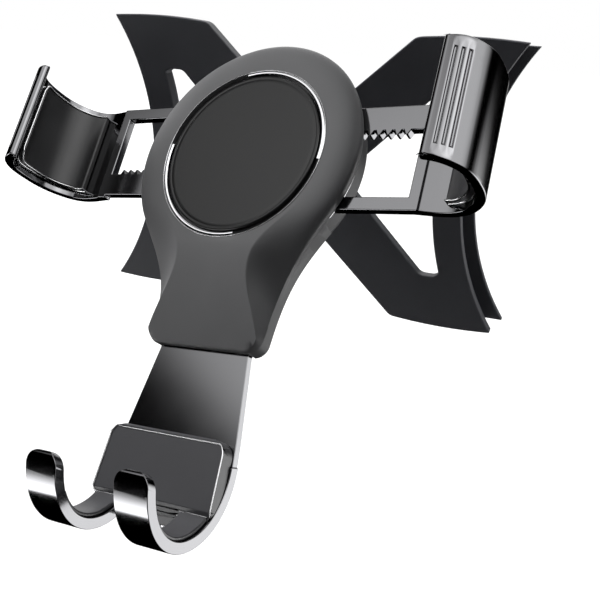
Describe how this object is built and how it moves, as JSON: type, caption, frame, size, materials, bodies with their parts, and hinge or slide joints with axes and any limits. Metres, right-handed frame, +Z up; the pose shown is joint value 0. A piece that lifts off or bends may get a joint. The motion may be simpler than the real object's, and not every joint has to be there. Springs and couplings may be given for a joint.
{
  "type": "car phone holder",
  "caption": "Gravity phone holder with rack-driven side clamps, a hooked sliding arm and a ball-jointed head on an X-shaped bracket that fits between two round air vents.",
  "frame": {"origin": "centre of the rear face of the bracket hub, which lies against the dashboard between the vents", "axes": "+X to the right as seen from the seat, +Y into the dashboard, +Z up"},
  "size_m": [0.1317, 0.1146, 0.1092],
  "materials": {
    "cover": "satin soft-touch moulding",
    "bracket": "fine textured moulding",
    "arm": "dark polished plating",
    "pad": "soft matte",
    "trim": "polished",
    "gear": "moulded acetal",
    "stud": "dark anodised",
    "screw": "plated"
  },
  "bodies": {
    "bracket": {"bracket_plate": "bracket", "grip_flange_right": "bracket", "grip_flange_left": "bracket", "grip_screw_1": "screw", "grip_screw_2": "screw", "grip_screw_3": "screw", "grip_screw_4": "screw", "ball_stud": "stud", "stud_screw": "screw"},
    "ball_seat": {"ball_seat": "gear"},
    "grip_ring": {"grip_ring": "pad"},
    "head": {"front_cover": "cover", "rear_cover": "cover", "disc_pad": "pad", "ring_arc_upper": "trim", "ring_arc_lower": "trim", "cover_screw_1": "screw", "cover_screw_2": "screw", "cover_screw_3": "screw", "cover_screw_4": "screw", "pinion_axle": "screw", "return_spring": "screw"},
    "lock_nut": {"lock_nut": "bracket"},
    "slider": {"gravity_arm": "arm", "arm_pad": "pad", "slider_rack": "gear", "rack_screw_left": "screw", "rack_screw_right": "screw"},
    "left_arm": {"left_arm": "arm", "left_clamp_pad": "pad"},
    "right_arm": {"right_arm": "arm", "right_clamp_pad": "pad"},
    "pinion": {"pinion": "gear"}
  },
  "joints": [
    {"name": "ball_tilt", "type": "hinge", "parent": "bracket", "child": "ball_seat", "pos_m": [0, -0.028, 0], "axis": [1, 0, 0], "range_deg": [-5, 50]},
    {"name": "ball_turn", "type": "hinge", "parent": "ball_seat", "child": "grip_ring", "pos_m": [0, -0.028, 0], "axis": [0, 0.6088, 0.7934], "range_deg": [-10, 40]},
    {"name": "ball_roll", "type": "hinge", "parent": "grip_ring", "child": "head", "pos_m": [0, -0.028, 0], "axis": [0.2588, 0.7663, -0.588], "range_deg": [-30, 10]},
    {"name": "nut_turn", "type": "hinge", "parent": "head", "child": "lock_nut", "pos_m": [0, -0.028, 0], "axis": [0.2588, 0.7663, -0.588], "range_deg": [0, 45]},
    {"name": "gravity_slide", "type": "slide", "parent": "head", "child": "slider", "axis": [0, -0.6088, -0.7934], "range_m": [0, 0.0135], "stiffness_N_per_m": 60, "springref_m": -0.012},
    {"name": "right_arm_slide", "type": "slide", "parent": "head", "child": "right_arm", "axis": [-0.9659, 0.2053, -0.1576], "range_m": [0, 0.0135]},
    {"name": "left_arm_slide", "type": "slide", "parent": "head", "child": "left_arm", "axis": [0.9659, -0.2053, 0.1576], "range_m": [0, 0.0135]},
    {"name": "pinion_spin", "type": "hinge", "parent": "head", "child": "pinion", "pos_m": [-0.00505, -0.04294, 0.01147], "axis": [-0.2588, -0.7663, 0.588], "range_deg": [0, 172]}
  ],
  "couplings": [
    {"joint": "right_arm_slide", "follows": "gravity_slide", "ratio": 1},
    {"joint": "left_arm_slide", "follows": "gravity_slide", "ratio": 1},
    {"joint": "pinion_spin", "follows": "gravity_slide", "rad_per_m": 222.22}
  ]
}
